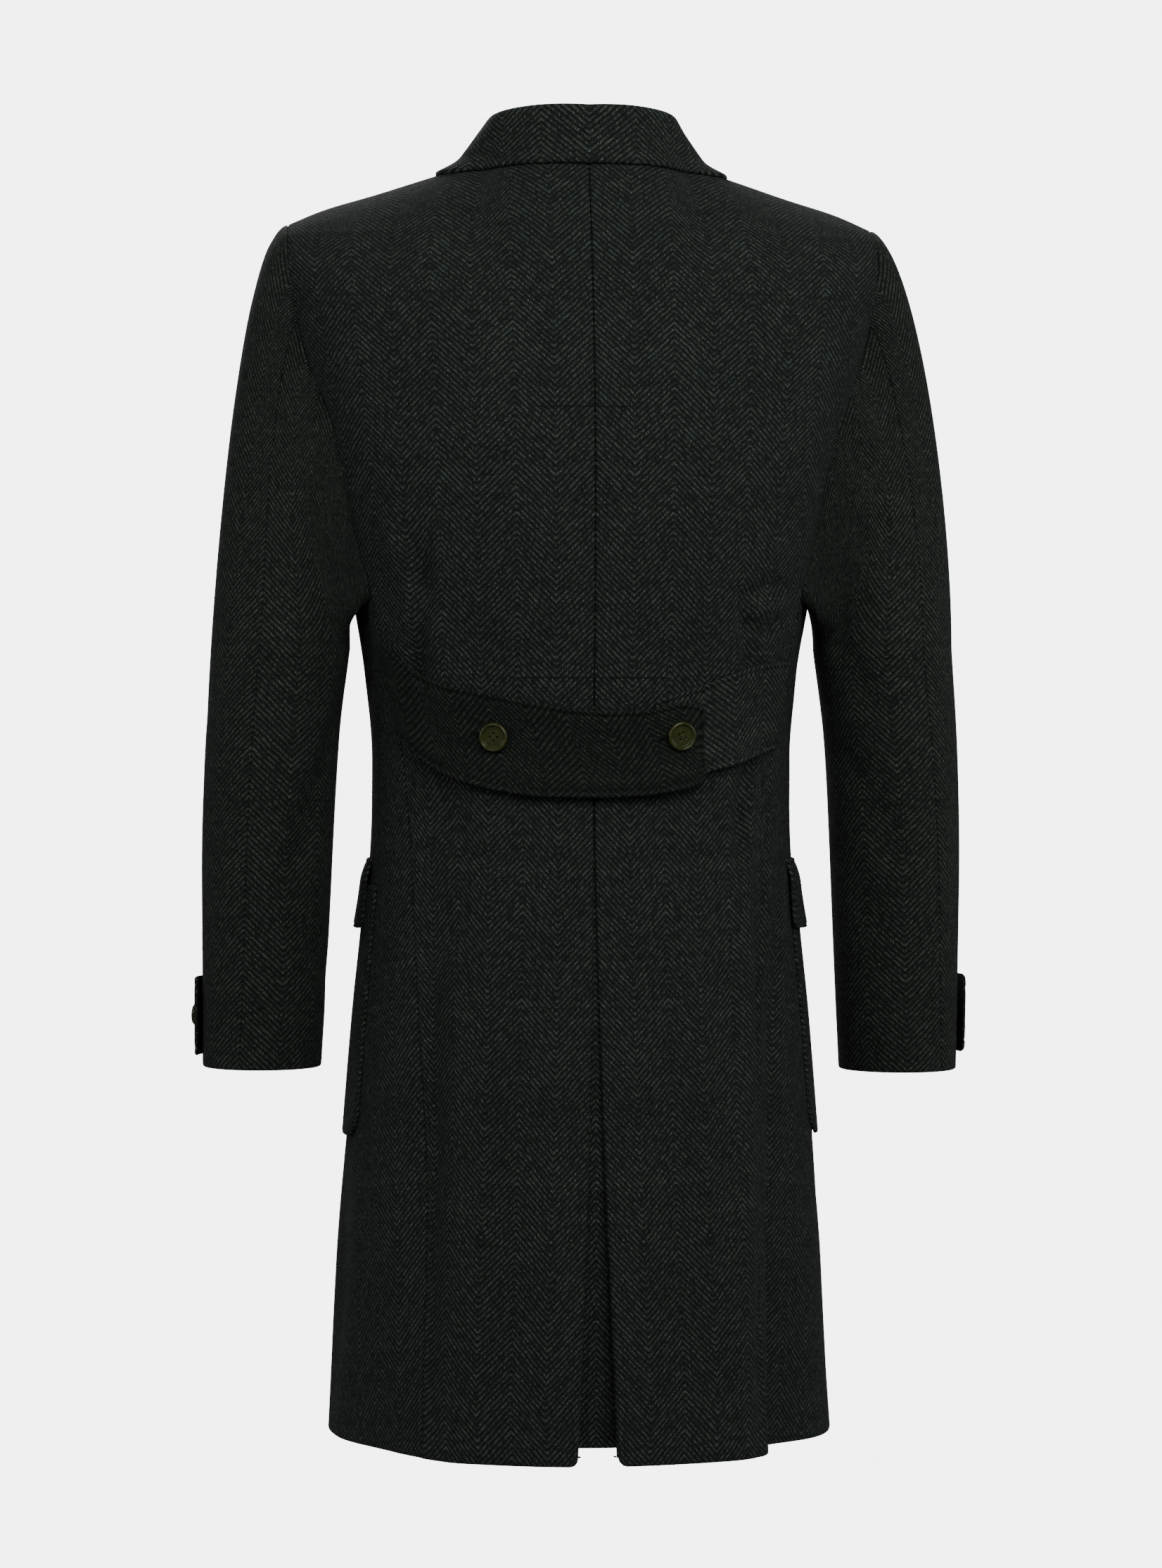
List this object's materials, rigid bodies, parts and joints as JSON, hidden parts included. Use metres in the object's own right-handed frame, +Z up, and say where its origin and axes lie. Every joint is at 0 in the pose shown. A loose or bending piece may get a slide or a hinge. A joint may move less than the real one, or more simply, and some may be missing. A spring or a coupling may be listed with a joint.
{
  "type": "double-breasted coat",
  "caption": "Knee-length fitted overcoat, hollow as worn: fall collar, two-piece sleeves with cuff tabs, buttoned half belt, inverted back pleat, patch pockets with flaps.",
  "frame": {"origin": "the middle of the neck opening, level with the collar seam at the nape", "axes": "+Z up along the wearer's spine, -Y the way the coat faces, +X the wearer's left"},
  "size_m": [0.6119, 0.3412, 1.0243],
  "materials": {
    "body_wool": "brushed herringbone wool coating, dark green and black",
    "sleeve_wool": "brushed herringbone wool coating, dark green and black",
    "trim_wool": "brushed herringbone wool coating, dark green and black",
    "olive_horn": "polished olive-brown horn or resin"
  },
  "bodies": {
    "root": {"back_left": "body_wool", "back_right": "body_wool", "front_left": "body_wool", "front_right": "body_wool", "pleat_underlay": "body_wool", "topsleeve_left": "sleeve_wool", "topsleeve_right": "sleeve_wool", "undersleeve_left": "sleeve_wool", "undersleeve_right": "sleeve_wool", "collar": "trim_wool", "lapel_left": "trim_wool", "lapel_right": "trim_wool", "half_belt_left": "trim_wool", "half_belt_right": "trim_wool", "pocket_left": "trim_wool", "pocket_right": "trim_wool", "flap_left": "trim_wool", "flap_right": "trim_wool", "cuff_tab_left": "trim_wool", "cuff_tab_right": "trim_wool", "belt_button_left": "olive_horn", "belt_button_right": "olive_horn", "cuff_button_left": "olive_horn", "cuff_button_right": "olive_horn", "front_button_left_upper": "olive_horn", "front_button_right_upper": "olive_horn", "front_button_left_middle": "olive_horn", "front_button_right_middle": "olive_horn", "front_button_left_lower": "olive_horn", "front_button_right_lower": "olive_horn"}
  },
  "joints": []
}
